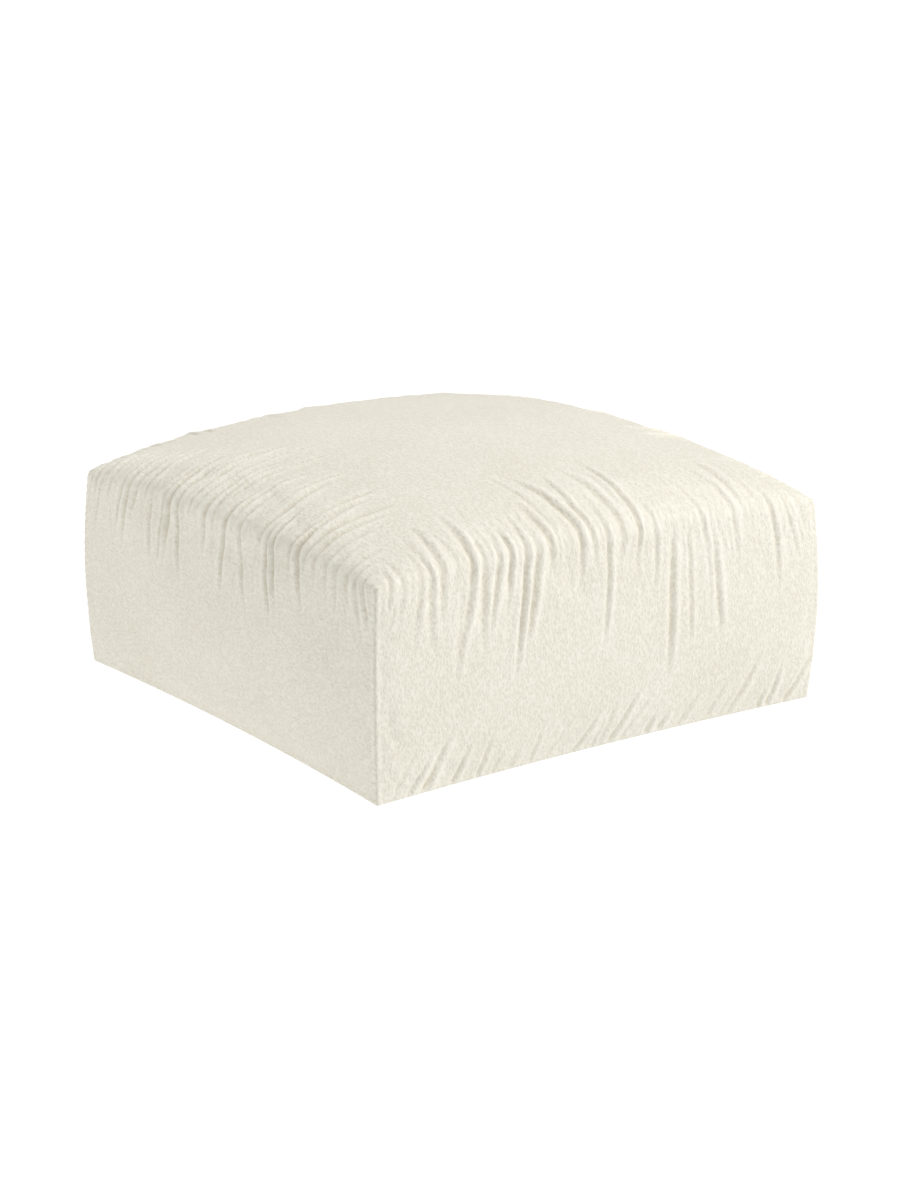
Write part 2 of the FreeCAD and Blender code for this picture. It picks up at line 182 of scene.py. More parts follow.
class Finish(Tree):
    """A material under construction."""

    def __init__(self, name, roughness=0.8, specular=0.3, metallic=0.0):
        self.material = bpy.data.materials.new(name)
        self.material.use_nodes = True
        super().__init__(self.material.node_tree)
        self.shader = self.tree.nodes["Principled BSDF"]
        self.shader.inputs["Roughness"].default_value = roughness
        self.shader.inputs["Specular IOR Level"].default_value = specular
        self.shader.inputs["Metallic"].default_value = metallic

    def place(self):
        """Object coordinates, as a vector and as x, y and z."""
        where = self.node("ShaderNodeTexCoord", output="Object")
        parts = self.node("ShaderNodeSeparateXYZ", {}, {"Vector": where})
        return where, parts, parts.output("Y"), parts.output("Z")

    def noise(self, where, scale, detail=2.0, roughness=0.5):
        return self.node("ShaderNodeTexNoise", {}, {
            "Vector": where, "Scale": scale, "Detail": detail, "Roughness": roughness})

    def cells(self, where, scale):
        return self.node("ShaderNodeTexVoronoi", {"feature": "SMOOTH_F1"}, {"Vector": where, "Scale": scale})

    def colours(self, shade, *stops):
        """Base colour from a shade, through stops of (position, colour)."""
        ramp = self.node("ShaderNodeValToRGB", {"stops": [(at, (*tint, 1)) for at, tint in stops]},
                         {"Fac": shade})
        plug(self.tree, self.shader.inputs["Base Color"], ramp)

    def roughness(self, wire):
        plug(self.tree, self.shader.inputs["Roughness"], wire)

    def bump(self, height, distance, strength=1.0):
        normal = self.node("ShaderNodeBump", {}, {
            "Height": height, "Distance": distance, "Strength": strength})
        plug(self.tree, self.shader.inputs["Normal"], normal)

    def sheen(self, weight, roughness, tint):
        self.shader.inputs["Sheen Weight"].default_value = weight
        self.shader.inputs["Sheen Roughness"].default_value = roughness
        self.shader.inputs["Sheen Tint"].default_value = (*tint, 1)


floor_mesh = bpy.data.meshes.new("floor")
floor_corners = [(x * FLOOR_REACH, y * FLOOR_REACH, 0) for x, y in ((-1, -1), (1, -1), (1, 1), (-1, 1))]
floor_mesh.from_pydata(floor_corners, [], [(0, 1, 2, 3)])
floor = keep("floor", floor_mesh)
floor_paint = Finish("floor_paint", roughness=0.9, specular=0.1)
floor_paint.shader.inputs["Base Color"].default_value = FLOOR_COLOUR
floor_paint.shader.inputs["Emission Color"].default_value = (1, 1, 1, 1)
floor_paint.shader.inputs["Emission Strength"].default_value = FLOOR_GLOW
floor_mesh.materials.append(floor_paint.material)


# ---------------------------------------------------------------- foam core and wadding
# Two laminated blocks of cream polyether foam with a softer domed pad on them, wrapped in sheets
# of white polyester wadding. They are sealed in the inner bag and keep their CAD shapes.

def dress(material, *nodes):
    """Gives pieces that keep their CAD shape their finish."""
    for name in nodes:
        for material_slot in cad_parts[name].material_slots:
            material_slot.material = material


def foam():
    made = Finish("cream_foam", roughness=0.95, specular=0.1)
    where, _, _, _ = made.place()
    open_cells = made.cells(where, 620.0)
    yellowing = made.noise(where, 9.0)
    made.colours(open_cells + yellowing * 0.3, (0.1, (0.62, 0.55, 0.40)), (0.8, (0.83, 0.77, 0.62)))
    made.bump(open_cells, 0.6 * MM, 0.7)
    return made.material


def wadding():
    made = Finish("white_wadding", roughness=1.0, specular=0.05)
    where, _, _, _ = made.place()
    fibres = made.noise(where, 240.0, detail=6.0, roughness=0.75)
    clumps = made.noise(where, 12.0)
    made.colours(fibres + clumps * 0.4, (0.3, (0.74, 0.74, 0.72)), (0.9, (0.90, 0.90, 0.885)))
    made.bump(fibres, 2.0 * MM, 0.8)
    made.sheen(0.4, 0.6, (1, 1, 1))
    return made.material


dress(foam(), "foam_base_block", "foam_middle_block", "foam_crown_pad")
dress(wadding(), "wadding_top", "wadding_front", "wadding_back", "wadding_left", "wadding_right")


# ---------------------------------------------------------------- inner bag
# A sewn bag of thin white spunbonded cloth holds the filling together when the cover is off. It
# lies wholly inside the cover and keeps its CAD shape.

def plain_weave(first, second, pitch):
    """The height of a plain weave that runs along two coordinates."""
    turns = math.pi / pitch
    return (first * turns).sine() * (second * turns).sine() * 0.5 + 0.5


def spunbond():
    """A web of fine fibres, pressed together at small points."""
    made = Finish("white_spunbond", roughness=0.75, specular=0.25)
    where, x, y, z = made.place()
    pressed = plain_weave(x + y, z + y, 1.2 * MM)
    web = made.noise(where, 700.0, detail=4.0)
    made.colours(web + pressed * 0.2, (0.3, (0.79, 0.79, 0.77)), (0.8, (0.90, 0.90, 0.885)))
    made.bump(web * 0.5 + pressed, 0.15 * MM, 0.6)
    return made.material


dress(spunbond(), "liner_top_and_sides", "liner_base")


# ---------------------------------------------------------------- cover
# The outer cover: ivory chenille upholstery cloth, cut as one cross, so that the top runs over
# the shoulders into the four sides. It is sewn up each corner with a plain seam, and gathered
# over the shoulders and along the base seam, which leaves the tucks. A narrow strip of the same
# cloth lies under the zip. Both hems of the zip are folded in.

BINDING_BELOW_CORNER = 16.6 * MM           # a corner binding ends this far under the corner
CORNER_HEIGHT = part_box("corner_binding_front_left")[1].z + BINDING_BELOW_CORNER
CROWN_RISE = 85.3 * MM
CROWN_POWER = 0.4841
SHOULDER_LIFT = 9.6 * MM
SHOULDER_BULGE = 15 * MM
BELLY_BULGE = 10 * MM
BELLY_SHARE = 0.6546
BASE_TUCK = 13.7 * MM
CORNER_BOW = 7.6 * MM
BACK_UPRIGHT = 60 * MM

COLUMNS = 84           # cells of the coarse cloth along an edge
CROWDING = 1.15        # radians: over 0, cells are narrower towards the corners
FINE_STEPS = 2         # times that each cell is halved, each way
SEAM_CREASE = 0.9      # sharpness of the corner seams, from 0 to 1

zip_height = (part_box("zip_coil_upper")[0].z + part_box("zip_coil_lower")[1].z) / 2
hem_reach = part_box("cover_zip_strip")[1].x
hem_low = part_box("cover_zip_strip")[1].z
hem_high = 2 * zip_height - hem_low

# Rows up a side, in millimetres. The first ones, as (height, how far in from the face), turn in
# under the edge, over the base cloth. Close rows follow the folded hems of the zip, each at its
# height over the lower hem's edge, and mirrored about the zip for the upper hem.
TURNED_IN = ((2.4, 16), (2.2, 3.4), (0.8, 1.8), (0.15, 0.9), (1.2, 0.1))
BELOW_ZIP = (3.4, 7.5, 13, 18.5, 23.5)
FOLDED_HEM = (-2.6, -0.9, -0.2, 0.5, 1.8)
ABOVE_ZIP = (45.5, 51, 58.5, 68)
UPPER_ROWS = 22
rows = [(height * MM, inward * MM) for height, inward in TURNED_IN]
rows += [(height * MM, 0) for height in BELOW_ZIP]
rows += [(hem_low + fold * MM, 0) for fold in FOLDED_HEM]
rows.append((zip_height, 0))
rows += [(hem_high - fold * MM, 0) for fold in reversed(FOLDED_HEM)]
rows += [(height * MM, 0) for height in ABOVE_ZIP]
rows += [(height, 0) for height in np.linspace(rows[-1][0], CORNER_HEIGHT, UPPER_ROWS)[1:]]
ROWS = len(rows) - 1


def side_bulge(share, at_back):
    """How far the middle of a side stands out from the line of its corners."""
    above = math.cos(math.pi / 2 * (share - BELLY_SHARE) / (1 - BELLY_SHARE))
    if share > BELLY_SHARE:
        return SHOULDER_BULGE + (BELLY_BULGE - SHOULDER_BULGE) * above
    if at_back:
        upright = BACK_UPRIGHT / CORNER_HEIGHT
        rise = min(max((share - upright) / (BELLY_SHARE - upright), 0), 1)
        return BELLY_BULGE * rise * rise * (3 - 2 * rise)
    return (BELLY_BULGE + BASE_TUCK) * math.sin(math.pi / 2 * share / BELLY_SHARE) - BASE_TUCK


def corner_out(height):
    """Half the distance between neighbouring corner seams at a height."""
    return half_width + CORNER_BOW * math.sin(math.pi * height / CORNER_HEIGHT)


def side_point(along, height, inward, at_back):
    """A point of the front side, along from -1 to 1."""
    share = height / CORNER_HEIGHT
    corner = corner_out(height) - inward
    middle = 1 - along * along
    out = corner + side_bulge(share, at_back) * middle
    return Vector((along * corner, -out, height + SHOULDER_LIFT * middle * share))


def top_point(across, back):
    """A point of the top, across and back from -1 to 1."""
    edge_x = 1 - across * across
    edge_y = 1 - back * back
    lift = SHOULDER_LIFT * (edge_x + edge_y - edge_x * edge_y)
    crown = CROWN_RISE * (edge_x * edge_y) ** CROWN_POWER
    return Vector((
        across * (half_width + SHOULDER_BULGE * edge_y),
        back * (half_width + SHOULDER_BULGE * edge_x),
        CORNER_HEIGHT + lift + crown,
    ))


def coarse_cover():
    """The cover's coarse mesh. Its UV map is the flat cloth, in metres: the top in the middle."""
    ends = np.linspace(-1, 1, COLUMNS + 1)
    places = np.sin(CROWDING * ends) / math.sin(CROWDING)
    points, faces, flat, seams = [], [], [], []
    numbers = {}

    def number(key, point):
        if key not in numbers:
            numbers[key] = len(points)
            points.append(point)

    edge_of_top = [
        lambda i: ("top", i, 0),
        lambda i: ("top", COLUMNS, i),
        lambda i: ("top", COLUMNS - i, COLUMNS),
        lambda i: ("top", 0, COLUMNS - i),
    ]

    def side_key(side, i, row):
        if row == ROWS:
            return edge_of_top[side](i)
        if i == COLUMNS:
            return ("side", (side + 1) % 4, 0, row)
        return ("side", side, i, row)

    def add_face(keys, cloth_places):
        faces.append([numbers[key] for key in keys])
        flat.extend(cloth_places)

    for i, x in enumerate(places):
        for j, y in enumerate(places):
            number(("top", i, j), top_point(x, y))
    for side in range(4):
        turn = Matrix.Rotation(side * math.pi / 2, 3, "Z")
        for i, x in enumerate(places):
            for row, (height, inward) in enumerate(rows):
                number(side_key(side, i, row), turn @ side_point(x, height, inward, side == 2))

    ring = ((0, 0), (1, 0), (1, 1), (0, 1))
    for i in range(COLUMNS):
        for j in range(COLUMNS):
            around = [(i + a, j + b) for a, b in ring]
            add_face([("top", *at) for at in around],
                     [(places[a] * half_width, places[b] * half_width) for a, b in around])
    for side in range(4):
        turn = Matrix.Rotation(side * math.pi / 2, 2)

        def on_cloth(i, row):
            height, inward = rows[row]
            return turn @ Vector((places[i] * half_width, height - inward - CORNER_HEIGHT - half_width))

        for i in range(COLUMNS):
            for row in range(ROWS):
                around = [(i + a, row + b) for a, b in ring]
                add_face([side_key(side, *at) for at in around], [on_cloth(*at) for at in around])
        for row in range(ROWS):
            seams.append((numbers[side_key(side, 0, row)], numbers[side_key(side, 0, row + 1)]))

    mesh = bpy.data.meshes.new("cover")
    mesh.from_pydata(points, [], faces)
    cloth_map = mesh.uv_layers.new(name="cloth")
    cloth_map.data.foreach_set("uv", np.array(flat, dtype=float).ravel())
    # each corner seam stays a crisp edge
    crease = mesh.attributes.new("crease_edge", "FLOAT", "EDGE")
    seam_edges = {tuple(sorted(pair)) for pair in seams}
    for edge in mesh.edges:
        if tuple(sorted(edge.vertices)) in seam_edges:
            crease.data[edge.index].value = SEAM_CREASE
    return mesh


def places_of(mesh):
    """The mesh's points as rows of an array."""
    flat = np.empty(len(mesh.vertices) * 3)
    mesh.vertices.foreach_get("co", flat)
    return flat.reshape(-1, 3)


def normals_of(mesh):
    """The normals at the mesh's points as rows of an array."""
    flat = np.empty(len(mesh.vertices) * 3)
    mesh.vertices.foreach_get("normal", flat)
    return flat.reshape(-1, 3)


def move_points(mesh, points):
    mesh.vertices.foreach_set("co", points.ravel())
    mesh.update()


def made_plain(thing):
    """The thing's mesh with its modifiers applied, and no modifiers left."""
    state = bpy.context.evaluated_depsgraph_get()
    settled = bpy.data.meshes.new_from_object(
        thing.evaluated_get(state), preserve_all_data_layers=True, depsgraph=state)
    thing.modifiers.clear()
    thing.data = settled
    return settled


CLOTH_PRESSURE = 4
CLOTH_SPARE = 0.02       # share by which the cloth is cut larger than the form it covers
CLOTH_FRAMES = 20
CLOTH_OUT = 3 * MM       # no point moves further out of the form than this
CLOTH_IN = 1.2 * MM      # nor further into it, where the inner bag lies


def settle(thing, held):
    """Cloth simulation: the filling presses the slack cloth out between its sewn edges."""
    before = places_of(thing.data)
    trial = keep("trial", thing.data.copy())
    trial.vertex_groups.new(name="sewn").add([int(i) for i in np.flatnonzero(held)], 1.0, "REPLACE")
    cloth = trial.modifiers.new("cloth", "CLOTH")
    cloth.settings.vertex_group_mass = "sewn"
    cloth.settings.use_pressure = True
    cloth.settings.uniform_pressure_force = CLOTH_PRESSURE
    cloth.settings.effector_weights.gravity = 0
    cloth.settings.shrink_min = -CLOTH_SPARE
    cloth.settings.quality = 6
    cloth.collision_settings.use_collision = False
    cloth.point_cache.frame_end = CLOTH_FRAMES
    for moment in range(1, CLOTH_FRAMES + 1):
        scene.frame_set(moment)
    state = bpy.context.evaluated_depsgraph_get()
    after = places_of(trial.evaluated_get(state).to_mesh())
    bpy.data.objects.remove(trial)
    scene.frame_set(1)
    moved = after - before
    outward = normals_of(thing.data)
    out = np.sum(moved * outward, axis=1)
    aside = moved - outward * out[:, None]
    aside *= np.minimum(1, CLOTH_IN / np.maximum(np.linalg.norm(aside, axis=1), 1e-9))[:, None]
    most = np.where(out > 0, CLOTH_OUT, CLOTH_IN)
    out = most * np.tanh(out / (2 * most))
    move_points(thing.data, before + aside + outward * out[:, None])


def smooth(share):
    """An even ramp from 0 to 1 with soft ends."""
    share = np.clip(share, 0, 1)
    return share * share * (3 - 2 * share)


# the corner seams, the foot and the upright strip of the back that holds the zip don't move
HELD_SEAM = 6 * MM
HELD_FOOT = 14 * MM

cover = keep("cover", coarse_cover())
cover.data.update()
start = places_of(cover.data)
nearer = np.minimum(np.abs(start[:, 0]), np.abs(start[:, 1]))
at_corner = (nearer > half_width - HELD_SEAM) & (start[:, 2] < CORNER_HEIGHT + 2 * MM)
by_zip = (start[:, 1] > half_width - 1 * MM) & (start[:, 2] < BACK_UPRIGHT)
held = at_corner | by_zip | (start[:, 2] < HELD_FOOT)
settle(cover, held)
finer = cover.modifiers.new("finer", "SUBSURF")
finer.levels = finer.render_levels = FINE_STEPS
finer.uv_smooth = "NONE"
fine = made_plain(cover)

# the turned-in edge is closed by one flat face, hidden above the base cloth
work = bmesh.new()
work.from_mesh(fine)
bmesh.ops.holes_fill(work, edges=[edge for edge in work.edges if edge.is_boundary], sides=0)
work.to_mesh(fine)
work.free()

# each point's place on the flat cloth
loop_points = np.empty(len(fine.loops), dtype=int)
fine.loops.foreach_get("vertex_index", loop_points)
loop_places = np.empty(len(fine.loops) * 2)
fine.uv_layers["cloth"].data.foreach_get("uv", loop_places)
cloth_place = np.zeros((len(fine.vertices), 2))
cloth_place[loop_points] = loop_places.reshape(-1, 2)

TUCK_SEED = 23
random = np.random.default_rng(TUCK_SEED)


def tuck(cloth, place, low, high, width, depth, lean, bend, fade=0.75):
    """Adds one tuck: a narrow valley with a soft ridge on each side, from low to high up the cloth."""
    along, up, total = cloth
    middle = (low + high) / 2
    reach = (high - low) / 2
    wide = (abs(lean) + abs(bend)) * reach + 6 * width
    first, last = np.searchsorted(along, (place - wide, place + wide))
    along, up = along[first:last], up[first:last]
    run = (up - middle) / reach
    path = place + lean * (up - middle) + bend * reach * run * run
    strength = smooth((1 - np.abs(run)) / fade)
    q = (along - path) / (width * (0.75 + 0.25 * strength))
    valley = np.exp(-q * q)
    ridges = 0.66 * np.exp(-((q - 1.9) / 1.2) ** 2) + 0.34 * np.exp(-((q + 2.0) / 1.5) ** 2)
    total[first:last] += depth * strength * (ridges - valley)


def edge_coordinates(side):
    """For one edge of the top: the place along it, and the way up the cloth from it."""
    turn = -side * math.pi / 2
    u = cloth_place[:, 0] * math.cos(turn) - cloth_place[:, 1] * math.sin(turn)
    v = cloth_place[:, 0] * math.sin(turn) + cloth_place[:, 1] * math.cos(turn)
    return u, v + half_width


def between(low, high):
    return random.uniform(low, high)


# Ranges in millimetres. Gathers over each shoulder have (spacing along the edge, depth, middle up
# the cloth from the edge, reach each way). The left ones are deepest and lie furthest up on the top.
FRONT, RIGHT, BACK, LEFT = range(4)
SHOULDER_GATHERS = {
    FRONT: ((17, 36), (1.5, 4.4), (-105, 90), (55, 150)),
    RIGHT: ((17, 36), (1.5, 4.4), (-75, 75), (50, 120)),
    BACK: ((17, 36), (1.5, 4.4), (-70, 75), (50, 120)),
    LEFT: ((14, 27), (2.8, 6.4), (-55, 105), (65, 135)),
}
TUCK_WIDTH = (3.4, 5.6)
TUCK_LEAN = 0.12                           # slope, either way
TUCK_FAN = 0.14                            # slope by which tucks fan out towards the corners
TOP_REACH = 260 * MM                       # no tuck reaches further in over the top

CREASE_SPACING = (6, 16)
CREASE_DEPTH = (0.35, 1.2)
CREASE_WIDTH = (2.2, 3.4)
CREASE_MIDDLE = (-80, 90)
CREASE_REACH = (18, 60)

BASE_SPACING = (16, 54)
BASE_DEPTH = (0.9, 3.0)
BASE_HEIGHT = (30, 105)
BASE_LEAN = {FRONT: 0.5, RIGHT: 0.25}      # slope; the other sides have no tucks at the base

rise = np.zeros(len(fine.vertices))
for side, (spacing, depths, middles, reaches) in SHOULDER_GATHERS.items():
    along, up = edge_coordinates(side)
    on_cloth = (up > -CORNER_HEIGHT - 2 * MM) & (np.abs(along) < half_width + 1 * MM)
    near = np.flatnonzero((up < TOP_REACH) & on_cloth)
    near = near[np.argsort(along[near], kind="stable")]
    total = np.zeros(len(near))
    cloth = along[near], up[near], total

    # long tucks over the shoulder, some mostly on the top and some mostly down the side
    place = -half_width + 22 * MM
    while place < half_width - 20 * MM:
        to_corner = half_width - abs(place)
        swell = smooth(to_corner / 0.22)
        deep = between(*depths) * MM * (0.4 + 0.6 * swell)
        centre = between(*middles) * MM
        reach = between(*reaches) * MM
        high = min(centre + reach, 14 * MM + 0.9 * to_corner)
        low = max(centre - reach, -50 * MM - 0.9 * to_corner)
        tuck(cloth, place, low, high, width=between(*TUCK_WIDTH) * MM, depth=deep,
             lean=between(-TUCK_LEAN, TUCK_LEAN) - TUCK_FAN * place / half_width,
             bend=between(-0.12, 0.12))
        place += between(*spacing) * MM

    # fine creases between them
    place = -half_width + 12 * MM
    while place < half_width - 10 * MM:
        reach = between(*CREASE_REACH) * MM
        centre = min(between(*CREASE_MIDDLE) * MM, half_width - abs(place) - reach * 0.6)
        tuck(cloth, place, centre - reach, centre + reach,
             width=between(*CREASE_WIDTH) * MM, depth=between(*CREASE_DEPTH) * MM,
             lean=between(-0.25, 0.25), bend=between(-0.2, 0.2))
        place += between(*CREASE_SPACING) * MM

    # short tucks that rise from the base seam
    if side in BASE_LEAN:
        place = -half_width + 40 * MM
        while place < half_width - 30 * MM:
            tuck(cloth, place, -CORNER_HEIGHT - 35 * MM, -CORNER_HEIGHT + between(*BASE_HEIGHT) * MM,
                 width=between(*TUCK_WIDTH) * MM, depth=between(*BASE_DEPTH) * MM,
                 lean=BASE_LEAN[side] * between(0.4, 1.3), bend=between(-0.05, 0.2))
            place += between(*BASE_SPACING) * MM
    rise[near] += total

# puckers beside each corner seam, and the groove of the seam itself
PUCKER_PITCH = 13 * MM
PUCKER_HEIGHT = 0.75 * MM
GROOVE_DEPTH = 1.3 * MM
WELT_HEIGHT = 0.5 * MM
for side in range(4):
    along, up = edge_coordinates(side)
    on_side = (up < 4 * MM) & (np.abs(along) < half_width + 1 * MM)
    to_seam = half_width - np.abs(along)
    waves = np.sin(2 * math.pi * up / PUCKER_PITCH + 1.7 * np.sin(up * 61 + side) + np.sign(along))
    pucker = PUCKER_HEIGHT * waves * np.exp(-to_seam / (9 * MM)) * smooth(to_seam / (3 * MM))
    groove = -GROOVE_DEPTH * np.exp(-(to_seam / (1.5 * MM)) ** 2)
    welt = WELT_HEIGHT * np.exp(-((to_seam - 5 * MM) / (2.6 * MM)) ** 2)
    rise += np.where(on_side, pucker + groove + welt, 0)

# the cloth lies smooth round the zip, and nearly smooth where it is sewn to the base cloth
SMOOTH_TO = 46 * MM
SMOOTH_FADE = 30 * MM
FOOT_FADE = 7 * MM
FOOT_SHARE = 0.15
points = places_of(fine)
on_back = points[:, 1] > half_width - 8 * MM
zone = on_back & (points[:, 2] < BACK_UPRIGHT + 20 * MM)
rise[zone] *= smooth((points[zone, 2] - SMOOTH_TO) / SMOOTH_FADE)
rise *= smooth(points[:, 2] / FOOT_FADE) * (1 - FOOT_SHARE) + FOOT_SHARE

# the zip's channel, behind the two folded hems
CHANNEL_DEPTH = 5.9 * MM
HEM_FOLD = 0.55 * MM
inside = (
    smooth((hem_reach - np.abs(points[:, 0])) / (3 * MM))
    * smooth((points[:, 2] - hem_low + 0.2 * MM) / HEM_FOLD)
    * smooth((hem_high + 0.2 * MM - points[:, 2]) / HEM_FOLD))
rise[on_back] -= CHANNEL_DEPTH * inside[on_back]

normals = normals_of(fine)
normals[zone] = (0, 1, 0)
move_points(fine, points + normals * rise[:, None])
fine.shade_smooth()

# painted shade darkens the pile in the valleys, and painted light brightens it on the ridges
FOLD_DEEP = 5 * MM                         # a valley this deep is as dark as any
fold = fine.attributes.new("fold", "FLOAT", "POINT")
fold.data.foreach_set("value", np.clip(rise / FOLD_DEEP, -1, 0.4))


def chenille():
    """Ivory chenille: short soft pile in small uneven tufts, on a faint rib."""
    made = Finish("ivory_chenille", roughness=0.95, specular=0.12)
    flat = made.node("ShaderNodeUVMap", {"uv_map": "cloth"})
    ribs = made.node("ShaderNodeMapping", {}, {"Vector": flat, "Scale": (1.0, 0.62, 1.0)})
    tufts = made.noise(ribs, 420.0, detail=2.0, roughness=0.5)
    pile = made.cells(ribs, 300.0)
    fibres = made.noise(flat, 1900.0, detail=2.0)
    brushed = made.noise(flat, 6.0, detail=3.0)
    # the fold depth paints shade into the valleys and light onto the ridges
    painted_fold_shade = made.node("ShaderNodeAttribute", {"attribute_name": "fold"}).output("Fac")
    shade = tufts * 0.5 + pile * 0.5 + brushed * 0.3 + painted_fold_shade * 0.4
    made.colours(shade, (0.3, (0.68, 0.64, 0.535)), (0.72, (0.815, 0.79, 0.695)), (1.05, (0.88, 0.86, 0.785)))
    made.bump(tufts * 0.5 + pile * 0.7 + fibres * 0.22, 1.5 * MM, 0.9)
    made.sheen(0.35, 0.5, (1.0, 0.975, 0.91))
    return made.material


cover.data.materials.clear()
cover.data.materials.append(chenille())
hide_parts("cover_top_and_sides", "cover_zip_strip")
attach(cover, "cushion")


# ---------------------------------------------------------------- seam bindings and care label
# Inside the cover, ecru twill tape binds the corner seams and the base seam, and a blank satin
# label is sewn into the back. They keep their CAD shapes.

def twill():
    made = Finish("ecru_twill", roughness=0.8, specular=0.2)
    where, x, y, z = made.place()
    rib = ((x + y + z * 0.7) * (2 * math.pi / (1.1 * MM))).sine()
    made.colours(rib * 0.3 + made.noise(where, 60.0), (0.2, (0.60, 0.55, 0.44)), (0.9, (0.78, 0.74, 0.63)))
    made.bump(rib, 0.15 * MM, 0.6)
    return made.material


def satin():
    made = Finish("white_satin", roughness=0.38, specular=0.5)
    where, x, _, _ = made.place()
    thread = (x * (math.pi / (0.35 * MM))).sine()
    made.colours(made.noise(where, 40.0), (0.2, (0.82, 0.82, 0.80)), (0.8, (0.90, 0.90, 0.88)))
    made.bump(thread, 0.05 * MM, 0.4)
    return made.material


dress(twill(), "base_seam_binding", "corner_binding_front_left", "corner_binding_front_right",
      "corner_binding_back_right", "corner_binding_back_left")
dress(satin(), "care_label")


# ---------------------------------------------------------------- zip tapes and coils
# An ivory nylon coil zip, 5 mm class. Its two woven tapes are sewn behind the hems and keep their
# CAD shapes. Each coil is one nylon wire, wound in even turns along the edge of its tape.

COIL_PITCH = 1.3 * MM
COIL_WIRE = 0.29 * MM
COIL_OVERLAP = 0.25 * MM      # each turn reaches this far past the middle of the chain


def zip_weave():
    made = Finish("ivory_zip_tape", roughness=0.75, specular=0.25)
    where, x, _, z = made.place()
    weave = plain_weave(x, z, 0.55 * MM)
    slubs = made.noise(where, 80.0)
    made.colours(weave * 0.5 + slubs * 0.6, (0.1, (0.66, 0.63, 0.54)), (0.9, (0.83, 0.80, 0.71)))
    made.bump(weave, 0.12 * MM, 0.6)
    return made.material


def nylon():
    made = Finish("ivory_nylon", roughness=0.32, specular=0.5)
    where, _, _, _ = made.place()
    made.colours(made.noise(where, 300.0), (0.2, (0.72, 0.69, 0.60)), (0.8, (0.80, 0.77, 0.68)))
    made.roughness(made.noise(where, 900.0) * 0.2 + 0.24)
    return made.material


def row_along(name, places, closed, shape, material, **sizes):
    """Sets a small shape at equal steps along a path, by Geometry Nodes, as one plain mesh."""
    links = [(i, i + 1) for i in range(len(places) - 1)]
    if closed:
        links.append((len(places) - 1, 0))
    path_mesh = bpy.data.meshes.new(name)
    path_mesh.from_pydata(places, links, [])
    row = keep(name, path_mesh)
    group = bpy.data.node_groups.new(name, "GeometryNodeTree")
    group.interface.new_socket("Path", in_out="INPUT", socket_type="NodeSocketGeometry")
    inputs = {
        word: group.interface.new_socket(word, in_out="INPUT", socket_type="NodeSocketFloat")
        for word in sizes}
    group.interface.new_socket("Row", in_out="OUTPUT", socket_type="NodeSocketGeometry")
    tree = Tree(group)
    path = tree.node("NodeGroupInput")
    size = {word: path.output(word) for word in sizes}
    curve = tree.node("GeometryNodeMeshToCurve", {}, {"Mesh": path})
    steps = tree.node("GeometryNodeCurveToPoints", {"mode": "LENGTH"}, {
        "Curve": curve, "Length": size["Pitch"]})
    turned = tree.node("FunctionNodeAlignEulerToVector", {"axis": "X"}, {
        "Vector": steps.output("Tangent")})
    placed = tree.node("GeometryNodeInstanceOnPoints", {}, {
        "Points": steps, "Instance": shape(tree, size), "Rotation": turned})
    real = tree.node("GeometryNodeRealizeInstances", {}, {"Geometry": placed})
    finished = tree.node("GeometryNodeSetMaterial", {}, {"Geometry": real, "Material": material})
    plug(group, group.nodes.new("NodeGroupOutput").inputs["Row"], finished)
    repeat = row.modifiers.new("repeat", "NODES")
    repeat.node_group = group
    for word, value in sizes.items():
        repeat[inputs[word].identifier] = value
    made_plain(row)
    row.data.shade_smooth()
    return row


def coil_turn(tree, size):
    """Half a turn of nylon wire, standing out of the tape."""
    bend = tree.node("GeometryNodeCurveArc", {"mode": "RADIUS"}, {
        "Resolution": 8, "Radius": size["Radius"], "Start Angle": 0.0, "Sweep Angle": math.pi})
    section = tree.node("GeometryNodeCurvePrimitiveCircle", {"mode": "RADIUS"}, {
        "Resolution": 6, "Radius": size["Wire"]})
    wire = tree.node("GeometryNodeCurveToMesh", {}, {
        "Curve": bend, "Profile Curve": section, "Fill Caps": True})
    squat = tree.node("ShaderNodeCombineXYZ", {}, {"X": 1.0, "Y": size["Height"] / size["Radius"], "Z": 1.0})
    return tree.node("GeometryNodeTransform", {}, {
        "Geometry": wire, "Rotation": (0.0, -math.pi / 2, 0.0), "Scale": squat})


coil_finish = nylon()
for name, upward in (("upper", 1), ("lower", -1)):
    node = f"zip_coil_{name}"
    low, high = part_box(node)
    radius = (high.z - low.z + COIL_OVERLAP) / 2 - COIL_WIRE
    middle = (low.z + high.z) / 2 - upward * COIL_OVERLAP / 2
    first = low.x + (1 - upward) / 4 * COIL_PITCH
    coil = row_along(
        f"wound_coil_{name}", [(first, low.y, middle), (high.x, low.y, middle)], False,
        coil_turn, coil_finish,
        Pitch=COIL_PITCH, Radius=radius, Wire=COIL_WIRE, Height=high.y - low.y - COIL_WIRE)
    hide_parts(node)
    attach(coil, "cushion")
dress(zip_weave(), "zip_tape_upper", "zip_tape_lower")


# ---------------------------------------------------------------- zip slider, pull and stops
# Die-cast zinc, enamelled ivory. The slider runs over both coils, and its pull hangs
# from the lug by a loose bar. Stops are clipped over the ends of the chain. Every edge is eased.

def enamel():
    made = Finish("ivory_enamel", roughness=0.3, specular=0.5)
    where, _, _, _ = made.place()
    ripple = made.noise(where, 700.0)
    made.colours(ripple, (0.2, (0.68, 0.66, 0.59)), (0.8, (0.75, 0.73, 0.665)))
    made.roughness(ripple * 0.14 + 0.24)
    made.bump(ripple, 0.03 * MM, 0.4)
    made.shader.inputs["Coat Weight"].default_value = 0.3
    return made.material


